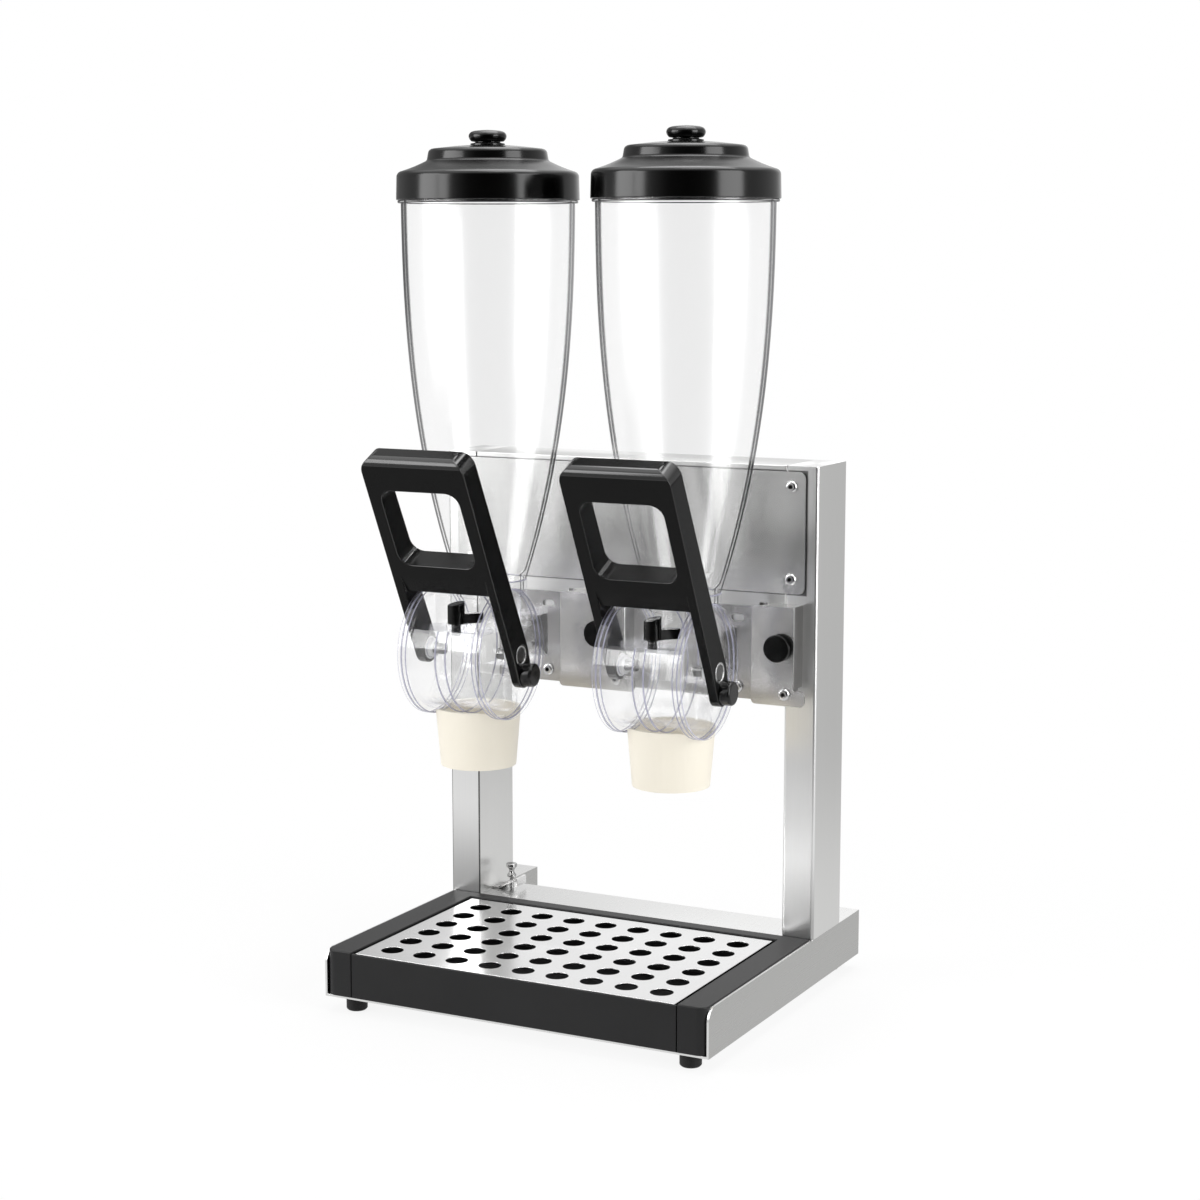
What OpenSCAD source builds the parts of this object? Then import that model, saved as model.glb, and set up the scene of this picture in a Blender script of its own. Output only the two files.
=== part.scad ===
// Counter-top dry food dispenser: two clear hoppers with lever-worked metering housings on a stand.
// Millimetres, +Z up, +X to the right, -Y towards the user. The origin is under the middle of the base.

/* [Stand] */
// Width of the base
base_w = 370; // [350:1:420]
// Depth of the base
base_d = 335; // [310:1:380]
// Height of the base body above its feet
base_h = 42; // [36:1:60]
// Height of the rubber feet
foot_h = 13; // [8:1:20]
// Radius of the rubber feet
foot_r = 9.3; // [7.5:0.1:11]
// Distance of each foot's axis from the side of the base
foot_side = 23; // [16:1:28]
// Distance of each foot's axis from the front and back of the base
foot_end = 17; // [14:1:26]
// Thickness of the stainless sheet
sheet_t = 2; // [1.5:0.1:2.6]
// Radius of the rounded upper front corner of the side cheeks
cheek_r = 12; // [6:1:18]
// Width of each post
post_w = 30; // [26:1:36]
// Depth of each post
post_d = 64; // [54:1:72]
// Height of the posts above the deck
post_h = 421; // [400:1:470]
// Distance of the backs of the posts from the back of the base
post_rear = 49.5; // [42:0.5:56]
// Depth of the deck between the posts
deck_d = 52; // [40:1:64]
// Depth of the flange along the bottom of the rear panel
panel_lip = 24; // [12:1:40]

/* [Drip tray] */
// Width of the side bars of the black surround
bar_w = 26; // [20:1:32]
// Depth of the rear bar of the black surround
bar_rear = 14; // [8:1:24]
// Radius of the rounded front corners of the surround
bar_r = 9; // [4:1:12]
// Height of the surround above the deck
bar_proud = 1; // [0.5:0.1:2]
// Wall thickness of the black mouldings
mould_t = 2.4; // [1.8:0.1:3]
// Gap round the tray as it slides
tray_gap = 0.6; // [0.4:0.1:1]
// Gap seen between the grate and the surround
grate_gap = 3.2; // [2:0.1:5]
// Thickness of the grate
grate_t = 1.5; // [1:0.1:2]
// Overhang of the grate past the tray's walls
grate_lap = 2.5; // [1:0.1:4]
// Radius of the grate's holes
hole_r = 9.8; // [7:0.1:11]
// Spacing of the holes across the grate
hole_dx = 32.7; // [26:0.1:34]
// Spacing of the holes along the grate
hole_dy = 30.8; // [26:0.1:34]
// Number of holes across
hole_cols = 9; // [5:1:9]
// Number of holes along
hole_rows = 6; // [3:1:6]

/* [Units] */
// Distance of each unit's axis from the side of the base
unit_inset = 90; // [88:0.5:93]
// Distance of the hopper axes in front of the posts
hopper_reach = 80.5; // [78:0.5:84]
// Height of the metering housing's axis above the table
drum_z = 311; // [300:1:330]
// Distance of the metering housing's axis in front of the hopper axis
drum_front = 34.5; // [33:0.5:37]

/* [Hopper] */
// Outer radius of the hopper at its top
hopper_r = 75.8; // [70:0.1:79]
// Height of the hopper from the collar to its rim flange
hopper_h = 329; // [290:1:360]
// Outer radius of the hopper just above the collar
hopper_low_r = 32; // [31.5:0.1:36]
// Part of the hopper's widening that is a straight taper
hopper_taper = 3; // [0:0.5:6]
// Fullness of the hopper's bell curve
hopper_bell = 2.5; // [1.8:0.1:3.5]
// Wall thickness of the hopper
hopper_t = 2.5; // [1.8:0.1:3.2]
// Outer radius of the hopper's neck
neck_r = 29.7; // [27:0.1:30.5]
// Depth of the neck inside the collar
neck_h = 16; // [10:1:18]
// Width of the rim flange outside the hopper wall
rim_w = 2.8; // [1.5:0.1:3.6]
// Thickness of the rim flange
rim_t = 2; // [1.5:0.1:3]
// Height of the rim above its flange
rim_h = 12; // [6:1:18]

/* [Lid] */
// Height of the lid's skirt
skirt_h = 23.5; // [21:0.5:28]
// Wall thickness of the skirt
skirt_t = 3.7; // [2.8:0.1:4.2]
// Thickness of the lid's top
lid_t = 3.2; // [2.4:0.1:3.6]
// Radius of the rounded shoulder of the skirt
shoulder_r = 3.5; // [2:0.5:5]
// Rise of the lid's cone
cone_h = 10.3; // [6:0.1:14]
// Radius of the upper step
step_r = 52; // [40:1:60]
// Height of the upper step
step_h = 9.8; // [6:0.1:13]
// Rise of the shallow dome on the step
dome_h = 4; // [2:0.5:7]
// Radius of the lid's knob
lid_knob_r = 16.5; // [12:0.5:20]
// Height of the lid's knob
lid_knob_h = 12.7; // [10:0.1:18]
// Radius of the knob's stud in the lid
stud_r = 3; // [2:0.5:5]

/* [Metering housing] */
// Radius of the housing's bore
bore_r = 50; // [48:0.5:52]
// Wall thickness of the clear housing
shell_t = 3; // [2.4:0.1:3.4]
// Width of the flanges outside the housing wall
flange_w = 4.6; // [1.5:0.1:6]
// Thickness of each flange and each end cap
flange_t = 4.2; // [3:0.1:5]
// Half length of the housing body
body_half = 37.2; // [36:0.1:40]
// Height of the flat shelf above the housing's axis
shelf_h = 24; // [21:0.5:28]
// Distance of the wall behind the shelf in front of the housing's axis
shelf_back = 6; // [4:0.5:9]
// Height of the collar's rim above the housing's axis
collar_h = 61; // [59:0.5:66]
// Height of the inlet's floor above the housing's axis
inlet_floor = 20; // [16:0.5:24]
// Wall thickness of the collar
collar_t = 2.6; // [2:0.1:3.2]
// Height of the two ribs round the middle of the housing
rib_out = 1.3; // [0.8:0.1:2.4]
// Width of those ribs
rib_w = 2.4; // [1.5:0.1:4]
// Spacing of the two ribs
rib_gap = 10; // [6:0.5:16]
// Distance of the outlet's axis behind the housing's axis
outlet_back = 11; // [8:0.5:13]
// Outer radius of the outlet tube
outlet_r = 33.8; // [30:0.1:34]
// Half width of the mounting block behind the housing
block_half = 15; // [11:1:18]
// Height of the mounting block
block_h = 40; // [30:1:44]

/* [Metering gate] */
// Gap between the gate and the bore
gate_gap = 0.6; // [0.4:0.1:1]
// Thickness of the gate's plates
gate_t = 3; // [2:0.1:4]
// Half width of the gate
gate_half = 30; // [26:0.5:31]
// Angle where the gate starts, counted from the rear
gate_from = 238; // [230:1:242]
// Angle that the gate covers
gate_sweep = 98; // [90:1:104]
// Radius of the gate's hubs
hub_r = 12; // [11:0.5:15]

/* [Spout] */
// Distance of the spout's top below the housing's axis
spout_drop = 51; // [48:0.5:56]
// Length of the spout
spout_h = 52; // [44:1:60]
// Outer radius of the spout at its top
spout_r = 37.9; // [36:0.1:39]
// Outer radius of the spout at its mouth
mouth_r = 33.5; // [28:0.1:35]
// Wall thickness at the spout's mouth
spout_t = 2; // [1.5:0.1:2.4]
// Depth of the spout's straight socket
socket_h = 22; // [17:0.5:25]

/* [Lever] */
// Lean of the lever at rest, in degrees
lever_lean = 26.5; // [22:0.5:30]
// Length of the lever above its pivot
lever_h = 203; // [190:1:220]
// Thickness of each lever arm
arm_t = 8.2; // [6:0.1:9]
// Distance of the arm's front and back from the pivot
arm_half = 13; // [12:0.5:15]
// Distance of the grip's back behind the pivot line, at the top
grip_back = 8.5; // [6:0.5:12]
// Radius of the lever's top corners
lever_r = 14; // [8:1:20]
// Radius of the grip's upper front edge
nose_r = 8; // [3:0.5:10]
// Radius of the grip's upper back edge
heel_r = 4; // [2:0.5:8]
// Height of the grip plate's lower edge above the pivot
plate_from = 67.5; // [67:0.5:76]
// Height of the hand window's lower edge above the pivot
window_from = 97; // [90:1:104]
// Height of the hand window
window_h = 75; // [60:1:82]
// Half width of the hand window
window_half = 38; // [30:0.5:40]
// Radius of the hand window's corners
window_r = 12; // [6:1:18]
// Height of the slope along the plate's lower front edge
slope_h = 18; // [8:0.5:20]
// Depth of that slope
slope_d = 3; // [2:0.5:9]
// Radius of the pivot pins
pin_r = 5; // [4:0.1:6]
// Radius of the pins' flush heads
pin_head_r = 9; // [7.5:0.1:10]
// Thickness of the pins' flush heads
pin_head_t = 2.5; // [1.5:0.1:3.5]
// Wall of the bearing bushes
bush_t = 3; // [2:0.1:4]
// Distance of the peg below the pivot
peg_drop = 19; // [17:0.5:22]
// Distance of the peg in front of the lever's centre line
peg_front = 2; // [-2:0.5:4]
// Radius of the peg
peg_r = 10.5; // [8:0.5:11]
// Length of the peg
peg_h = 10; // [6:0.5:14]

/* [Portion knob] */
// Distance of the knob's stem in front of the housing's axis
portion_front = 26; // [24:0.5:28]
// Radius of the knob
portion_r = 7.5; // [6:0.5:8.5]
// Height of the knob
portion_h = 19.5; // [16:0.5:21]
// Slant of the knob's top, in degrees
portion_slant = 14; // [4:1:20]
// Reach of the knob's arm
portion_reach = 24.5; // [20:0.5:26]
// Height of the knob's arm
portion_arm_h = 8.5; // [7:0.5:12]
// Radius of the end of the knob's arm
portion_tip_r = 3.6; // [3:0.1:4.5]
// Direction of the knob's arm at rest, in degrees from the right towards the rear
portion_turn = 45; // [20:1:50]
// Height of the boss under the knob
pad_h = 4; // [2:0.5:5]
// Radius of the knob's stem
stem_r = 4; // [3:0.1:5]

/* [Bracket] */
// Distance of the bracket's face in front of the rear panel
bracket_d = 20; // [17:0.5:24]
// Distance of the face's near edge from the unit's middle
bracket_from = 37; // [34:0.5:40]
// Width of the right bracket's face
bracket_w = 40; // [36:0.5:42]
// Extra width of the left bracket's face
bracket_extra = 26; // [16:1:32]
// Height of the bracket's face above the housing's axis
bracket_up = 44; // [38:0.5:47]
// Depth of the bracket's face below the housing's axis
bracket_down = 43; // [38:0.5:46]
// Height of the tab below the bracket's side walls
bracket_tab = 15; // [13:0.5:18]
// How far the tab runs past the bracket's face
tab_past = 10; // [6:0.5:11]
// Radius of the relief hole at the bracket's upper corner
relief_r = 8; // [5:0.5:8.5]
// Reach of the bracket's flange behind the housing
bracket_wing = 36; // [24:1:44]
// Distance of the right button's axis from its unit's middle
button_right = 63; // [58:0.5:65]
// Distance of the left button's axis from its unit's middle
button_left = 77; // [58:0.5:82]
// Height of the button above the housing's axis
button_up = 8; // [2:0.5:14]
// Radius of the button
button_r = 12; // [9:0.5:14]
// Thickness of the button
button_h = 4; // [3:0.5:6]
// Radius of the button's stem
button_stem_r = 5; // [4:0.1:5.5]
// Travel of the button
button_travel = 2.5; // [2:0.1:3.5]
// Wire diameter of the button's spring
wire_d = 1.2; // [0.8:0.1:1.4]
// Number of turns in the button's spring
spring_turns = 5; // [3:1:6]

/* [Cover plate] */
// Distance of the cover plate's ends from the outside of the posts
cover_side = 11; // [6:0.5:16]
// Distance of the cover plate below the top of the posts
cover_drop = 5; // [3:0.5:12]
// Gap between the cover plate and the brackets
cover_gap = 9; // [4:0.5:14]
// Corner radius of the cover plate
cover_r = 6; // [3:0.5:10]
// Distance of the cover screws from the plate's edges
screw_inset = 13; // [11:0.5:15]

/* [Fasteners] */
// Radius of the screw shanks
screw_r = 3; // [2:0.1:3.2]
// Radius of the button heads
head_r = 5.6; // [4.8:0.1:6.5]
// Height of the button heads
head_h = 3.3; // [2.5:0.1:4]
// Length of the screw shanks in what they hold
screw_grip = 8; // [6:0.5:12]
// Distance of the bracket screws from the bracket's lower edge
bracket_screw_up = 10.5; // [8:0.5:11]
// Distance of the tab's screw from the edge of the bracket's face
bracket_screw_in = 8.5; // [8:0.5:14]
// Distance of the flange screw from the unit's middle
wing_screw_x = 16; // [12:0.5:24]
// Length of the slot in the bracket's flange
slot_l = 12; // [8:0.5:16]

/* [Hold-down] */
// Reach of the sloped tab from the post
tab_w = 27; // [22:1:34]
// Depth of the tab
tab_d = 18; // [12:1:26]
// Rise of the tab above its foot
tab_rise = 10; // [7:0.5:14]
// Height of the lip at the tab's end
tab_lip = 8; // [5:0.5:10]
// Distance of the tab behind the front of the post
tab_back = 24; // [8:1:30]
// Distance of the thumbscrew from the post
thumb_out = 16; // [12:0.5:18]
// Radius of the thumbscrew's head
thumb_r = 5.2; // [4:0.1:6.5]
// Height of the thumbscrew's head
thumb_h = 14; // [11:0.5:20]
// Radius of the thumbscrew's shank
thumb_pin_r = 1.9; // [1.4:0.1:2.6]

/* [Clearances] */
// Gap where one piece rests on another that lifts off
seat_gap = 0.3; // [0.2:0.05:0.5]
// Radial clearance of a turning pin
run_gap = 0.06; // [0.03:0.01:0.1]
// Radial clearance of a fixed pin or screw
fit_gap = 0.02; // [0.01:0.01:0.05]
// Gap between the lever arms and the bushes
lever_gap = 0.3; // [0.2:0.05:0.5]

/* [Hidden] */
$fn = 96;
left = -1;
right = 1;
eps = 0.01;
steel = "#c4c6c7";
bright = "#d8dadb";
black = "#1c1c1d";
clear = [0.86, 0.89, 0.93, 0.45];
ivory = "#f1ead6";
white = "#e8e9ea";

// Stand
deck_z = foot_h + base_h;
post_top = deck_z + post_h;
base_x = base_w / 2;
base_y = base_d / 2;
post_in = base_x - post_w;
post_front = base_y - post_rear - post_d;
deck_back = post_front + deck_d;
panel_z = drum_z - bracket_down;
foot_x = base_x - foot_side;
foot_y = base_y - foot_end;

// Drip tray
floor_z = foot_h + sheet_t;
open_x = base_x - sheet_t - bar_w;
bar_back = post_front - seat_gap;
open_back = bar_back - bar_rear;
grate_x = open_x - grate_gap;
grate_front = -base_y + mould_t + tray_gap;
grate_back = open_back - grate_gap;
pan_x = grate_x - grate_lap;
pan_back = grate_back - grate_lap;
tray_z = floor_z + seat_gap;
grate_z = deck_z - grate_t;
hole_x = -(hole_cols - 1) / 2 * hole_dx;
hole_y = (grate_front + grate_back - (hole_rows - 1) * hole_dy) / 2;

// Units, housing and spout
unit_x = base_x - unit_inset;
hopper_y = post_front - hopper_reach;
drum_y = hopper_y - drum_front;
outlet_y = drum_y + outlet_back;
shell_r = bore_r + shell_t;
flange_r = shell_r + flange_w;
rib_r = shell_r + rib_out;
cap_x = body_half + flange_t;
collar_z = drum_z + collar_h;
seat_z = collar_z - neck_h;
outlet_h = spout_drop + socket_h;
spout_z = drum_z - spout_drop - spout_h;
inlet_r = neck_r - hopper_t;
collar_r = neck_r + seat_gap + collar_t;

// Hopper and lid
hopper_z = collar_z + seat_gap;
rim_z = hopper_z + hopper_h;
lid_z = rim_z + rim_t + seat_gap;
lid_in = hopper_r + seat_gap;
lid_r = lid_in + skirt_t;
cone_z = lid_z + skirt_h;
step_z = cone_z + cone_h;
top_z = step_z + step_h;
knob_z = top_z + dome_h;
bell_steps = 28;

// Lever
bush_lip = 0.5;
bush_r = pin_r + run_gap + bush_t;
arm_x = cap_x + bush_lip + lever_gap;
lever_x = arm_x + arm_t;
peg_pin_r = 4;
hub_end = body_half - seat_gap;

// Portion knob
shelf_z = drum_z + shelf_h;
portion_y = drum_y - portion_front;
cam_t = 4;
cam_z = shelf_z - shell_t - seat_gap - cam_t;

// Bracket and button
face_y = post_front - bracket_d;
wing_y = post_front - sheet_t;
bracket_low = drum_z - bracket_down;
bracket_top = drum_z + bracket_up;
bracket_screw_z = bracket_low + bracket_screw_up;
button_z = drum_z + button_up;
function face_w(side) = bracket_w + (side == left ? bracket_extra : 0);
function tab_screw_x(side) = side * unit_x + bracket_from + face_w(side) - bracket_screw_in;
function button_x(side) = side * unit_x + (side == left ? button_left : button_right);
housing_screw_z = [drum_z - block_h / 4, drum_z + block_h / 4];
clip_t = 1.2;
clip_w = 3;
clip_y = face_y + sheet_t + seat_gap;
stem_end = clip_y + clip_t + button_travel + 2;
spring_from = clip_y + clip_t + 0.2;
spring_to = post_front - 0.2;
coil_r = button_stem_r + clip_w / 2 + 0.3;

// Cover plate and hold-down
cover_x = base_x - cover_side;
cover_low = bracket_top + cover_gap;
cover_top = post_top - cover_drop;
cover_screw_x = cover_x - screw_inset;
tab_x = -post_in;
tab_y = post_front + tab_back;
tab_foot = 5;
tab_slope = tab_rise / (tab_w - sheet_t - tab_foot - 1);
thumb_x = tab_x + thumb_out;
thumb_y = tab_y + tab_d / 2;
thumb_z = deck_z + sheet_t + tab_slope * (thumb_out + 0.8 * thumb_r - tab_foot) + seat_gap;

// Turns a shape drawn along Z so that it runs along X, with its own x to the rear and its own y up
module along_x() {
    rotate([90, 0, 90]) children();
}

// Repeats a shape at both ends of a unit's axis
module both_ends() {
    along_x() children();
    along_x() mirror([0, 0, 1]) children();
}

// Moves a shape to the metering housing's axis on one side
module at_drum(side) {
    translate([side * unit_x, drum_y, drum_z]) children();
}

// Moves and leans a shape to the lever's rest position on one side
module at_lever(side) {
    at_drum(side) rotate([lever_lean, 0, 0]) children();
}

// Block between two corners
module block(low, high) {
    translate(low) cube(high - low);
}

// Flat rounded rectangle from its low corner
module rounded(w, h, r) {
    translate([r, 0]) square([w - 2 * r, h]);
    translate([0, r]) square([w, h - 2 * r]);
    for (x = [r, w - r], y = [r, h - r]) translate([x, y]) circle(r);
}

// Upright plate whose outline is drawn in x and z
module upright(y, t) {
    translate([0, y + t, 0]) rotate([90, 0, 0]) linear_extrude(t) children();
}

// Rod along the y direction
module rod_y(x, y, z, r, l) {
    translate([x, y, z]) rotate([-90, 0, 0]) cylinder(r = r, h = l);
}

// Points on a circular arc in a flat outline
function arc(cx, cy, r, from, to, n = 8) =
    [for (i = [0 : n]) let (a = from + (to - from) * i / n) [cx + r * cos(a), cy + r * sin(a)]];

// Button-head screw with its seat at z = 0 and its shank along -z
module button_screw(l) {
    difference() {
        rotate_extrude() polygon(concat(
            [[0, -l], [screw_r, -l], [screw_r, 0], [head_r, 0]],
            arc(head_r - head_h + 0.6, 0.6, head_h - 0.6, 0, 90),
            [[0, head_h]]
        ));
        translate([0, 0, head_h - 1.8]) cylinder(r = head_r * 0.38, h = 2, $fn = 6);
    }
}

// Button-head screw driven towards +y
module screw_in(x, y, z, l) {
    translate([x, y, z]) rotate([90, 0, 0]) button_screw(l);
}

module base_shell() {
    color(steel) difference() {
        union() {
            block([-base_x, -base_y + sheet_t, foot_h], [base_x, base_y, floor_z]);
            for (side = [left, right]) cheek(side);
            block([-base_x, post_front, deck_z - sheet_t], [base_x, deck_back, deck_z]);
            block([-post_in, deck_back - sheet_t, foot_h], [post_in, deck_back, deck_z]);
            for (side = [left, right]) deck_wing(side);
        }
        for (x = [-foot_x, foot_x], y = [-foot_y, foot_y])
            translate([x, y, foot_h - 1]) cylinder(r = screw_r + fit_gap, h = sheet_t + 2);
    }
}

// Side cheek of the base with its rounded upper front corner
module cheek(side) {
    front = -base_y + sheet_t;
    translate([side * (base_x - sheet_t / 2) - sheet_t / 2, 0, 0]) along_x() linear_extrude(sheet_t) {
        translate([front + cheek_r, foot_h]) square([base_y - front - cheek_r, base_h]);
        translate([front, foot_h]) square([cheek_r + eps, base_h - cheek_r]);
        translate([front + cheek_r, deck_z - cheek_r]) circle(cheek_r);
    }
}

// Box behind each post, which carries the deck to the back of the base
module deck_wing(side) {
    low = side * (base_x - post_w / 2) - post_w / 2;
    high = low + post_w;
    difference() {
        block([low, deck_back - sheet_t, foot_h], [high, base_y, deck_z]);
        block([low + sheet_t, deck_back - sheet_t - 1, floor_z],
              [high - sheet_t, base_y - sheet_t, deck_z - sheet_t]);
    }
}

module feet() {
    color(black) for (x = [-foot_x, foot_x], y = [-foot_y, foot_y]) translate([x, y, 0]) difference() {
        rotate_extrude() polygon([
            [0, 0], [foot_r - 1.5, 0], [foot_r, 1.5], [foot_r, foot_h - 3], [foot_r - 1, foot_h - 2.5],
            [foot_r - 1, foot_h], [0, foot_h]
        ]);
        translate([0, 0, -1]) cylinder(r = screw_r + fit_gap, h = foot_h + 2);
        translate([0, 0, -1]) cylinder(r = head_r + fit_gap, h = head_h + 2);
    }
}

module foot_screws() {
    color(bright) for (x = [-foot_x, foot_x], y = [-foot_y, foot_y])
        translate([x, y, head_h + 1]) rotate([180, 0, 0]) button_screw(foot_h - head_h - 1 + sheet_t);
}

// Box post, open at the bottom
module post(side) {
    low = side * (base_x - post_w / 2) - post_w / 2;
    high = low + post_w;
    wall = sheet_t;
    screws = side == right ? [[tab_screw_x(right), bracket_screw_z]] : [];
    difference() {
        block([low, post_front, deck_z], [high, post_front + post_d, post_top]);
        block([low + wall, post_front + wall, deck_z - 1],
              [high - wall, post_front + post_d - wall, post_top - wall]);
        for (z = [cover_low + screw_inset, cover_top - screw_inset])
            rod_y(side * cover_screw_x, post_front - 1, z, screw_r + fit_gap, sheet_t + 2);
        for (p = screws) rod_y(p[0], post_front - 1, p[1], screw_r + fit_gap, sheet_t + 2);
    }
}

module post_left() {
    color(steel) post(left);
}

module post_right() {
    color(steel) post(right);
}

module rear_panel() {
    color(steel) difference() {
        union() {
            block([-post_in, post_front, panel_z], [post_in, post_front + sheet_t, post_top]);
            block([-post_in, post_front, post_top - sheet_t], [post_in, post_front + post_d, post_top]);
            block([-post_in, post_front, panel_z], [post_in, post_front + panel_lip, panel_z + sheet_t]);
        }
        for (side = [left, right], z = housing_screw_z)
            rod_y(side * unit_x, post_front - 1, z, screw_r + fit_gap, sheet_t + 2);
        for (x = [wing_screw_x - unit_x, wing_screw_x + unit_x, tab_screw_x(left)])
            rod_y(x, post_front - 1, bracket_screw_z, screw_r + fit_gap, sheet_t + 2);
    }
}

module cover_plate() {
    color(bright) difference() {
        upright(wing_y, sheet_t) translate([-cover_x, cover_low])
            rounded(2 * cover_x, cover_top - cover_low, cover_r);
        for (side = [left, right], z = [cover_low + screw_inset, cover_top - screw_inset])
            rod_y(side * cover_screw_x, wing_y - 1, z, screw_r + fit_gap, sheet_t + 2);
    }
}

module cover_screws() {
    color(bright) for (side = [left, right], z = [cover_low + screw_inset, cover_top - screw_inset])
        screw_in(side * cover_screw_x, wing_y, z, sheet_t + screw_grip);
}

module tray_surround() {
    color(black) difference() {
        translate([0, 0, floor_z]) linear_extrude(deck_z + bar_proud - floor_z) surround_outline(0);
        translate([0, 0, floor_z - 1]) linear_extrude(deck_z + bar_proud - mould_t - floor_z + 1)
            surround_outline(mould_t);
    }
}

// Outline of the U-shaped surround, drawn in by a wall
module surround_outline(wall) {
    side_x = base_x - sheet_t;
    front = -base_y + wall;
    difference() {
        union() {
            translate([-side_x + wall, front + bar_r])
                square([2 * (side_x - wall), bar_back - wall - front - bar_r]);
            for (side = [left, right]) {
                low = side == left ? -side_x + wall : open_x + wall;
                translate([low + (side == left ? bar_r : 0), front])
                    square([side_x - open_x - 2 * wall - bar_r, bar_r + eps]);
                translate([side * (side_x - wall - bar_r), front + bar_r]) circle(bar_r);
            }
        }
        translate([-open_x - wall, -base_y - 1])
            square([2 * (open_x + wall), open_back + base_y + 1 + wall]);
    }
}

module drip_tray() {
    panel_x = open_x - tray_gap;
    color(black) difference() {
        union() {
            block([-panel_x, -base_y, tray_z], [panel_x, -base_y + mould_t, deck_z]);
            block([-pan_x, -base_y + eps, tray_z], [pan_x, pan_back, grate_z - seat_gap]);
        }
        block([-pan_x + mould_t, -base_y + mould_t + tray_gap + grate_lap, tray_z + mould_t],
              [pan_x - mould_t, pan_back - mould_t, deck_z + 1]);
    }
}

module drip_grate() {
    color(bright) difference() {
        block([-grate_x, grate_front, grate_z], [grate_x, grate_back, deck_z]);
        for (i = [0 : hole_cols - 1], j = [0 : hole_rows - 1])
            translate([hole_x + i * hole_dx, hole_y + j * hole_dy, grate_z - 1])
                cylinder(r = hole_r, h = grate_t + 2);
    }
}

module hold_down_tab() {
    end = tab_w - sheet_t;
    top = tab_rise + sheet_t;
    color(steel) difference() {
        upright(tab_y, tab_d) translate([tab_x, deck_z]) polygon([
            [0, 0], [tab_foot + 1, 0], [end, tab_rise], [end, top - tab_lip], [tab_w, top - tab_lip],
            [tab_w, top], [end - 1, top], [tab_foot, sheet_t], [0, sheet_t]
        ]);
        translate([thumb_x, thumb_y, deck_z - 1]) cylinder(r = thumb_pin_r + run_gap, h = top + 2);
    }
}

module thumbscrew() {
    waist = thumb_r * 0.5;
    z0 = thumb_z;
    color(bright) translate([thumb_x, thumb_y, 0]) rotate_extrude() polygon([
        [0, deck_z + seat_gap], [thumb_pin_r, deck_z + seat_gap], [thumb_pin_r, z0],
        [thumb_r * 0.8, z0 + 1], [thumb_r * 0.85, z0 + thumb_h * 0.2],
        [waist, z0 + thumb_h * 0.36], [waist, z0 + thumb_h * 0.56],
        [thumb_r, z0 + thumb_h * 0.74], [thumb_r, z0 + thumb_h * 0.92], [thumb_r - 1, z0 + thumb_h],
        [0, z0 + thumb_h]
    ]);
}

// Outer radius of the hopper at a share of its height
function bell(t) = hopper_low_r + (hopper_r - hopper_taper - hopper_low_r) * (1 - pow(1 - t, hopper_bell))
    + hopper_taper * t;

module hopper(side) {
    wall = [for (i = [0 : bell_steps]) [bell(i / bell_steps), hopper_z + hopper_h * i / bell_steps]];
    inside = [for (i = [bell_steps : -1 : 1]) [wall[i][0] - hopper_t, wall[i][1]]];
    low_z = seat_z + seat_gap;
    rim_top = rim_z + rim_t + rim_h;
    color(clear) translate([side * unit_x, hopper_y, 0]) rotate_extrude() polygon(concat(
        [[neck_r, low_z], [neck_r, hopper_z]], wall,
        [[hopper_r + rim_w, rim_z], [hopper_r + rim_w, rim_z + rim_t], [hopper_r, rim_z + rim_t]],
        [[hopper_r, rim_top], [hopper_r - hopper_t, rim_top]], inside,
        [[inlet_r, hopper_z + hopper_t], [inlet_r, low_z]]
    ));
}

module lid(side) {
    inner_step = step_r - lid_t;
    color(black) translate([side * unit_x, hopper_y, 0]) difference() {
        rotate_extrude() polygon(concat(
            [[lid_in, lid_z], [lid_r, lid_z]],
            arc(lid_r - shoulder_r, cone_z - shoulder_r, shoulder_r, 0, 70),
            [[step_r, step_z]], arc(step_r - 2, top_z - 2, 2, 0, 80, 5),
            [[0, knob_z], [0, knob_z - lid_t - dome_h], [inner_step, top_z - lid_t - dome_h]],
            [[inner_step, step_z - lid_t], [lid_in, cone_z - lid_t - shoulder_r / 2]]
        ));
        translate([0, 0, step_z]) cylinder(r = stud_r + fit_gap, h = step_h + dome_h + 1);
    }
}

module lid_knob(side) {
    neck = lid_knob_r * 0.55;
    color(black) translate([side * unit_x, hopper_y, knob_z]) rotate_extrude() polygon(concat(
        [[0, -lid_t - dome_h], [stud_r, -lid_t - dome_h], [stud_r, 0], [lid_knob_r * 0.74, 0]],
        [[lid_knob_r * 0.74, 1.4], [neck, 2.2], [neck, lid_knob_h * 0.36]],
        arc(lid_knob_r - 4, lid_knob_h - 4.2, 4, -50, 80),
        [[0, lid_knob_h]]
    ));
}

// Bore of the housing, with the space above the shelf left out
module housing_bore() {
    difference() {
        along_x() translate([0, 0, -cap_x]) cylinder(r = bore_r, h = 2 * cap_x);
        block([-body_half + flange_t, -flange_r, shelf_h - shell_t],
              [body_half - flange_t, -shelf_back + shell_t, flange_r]);
    }
}

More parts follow.
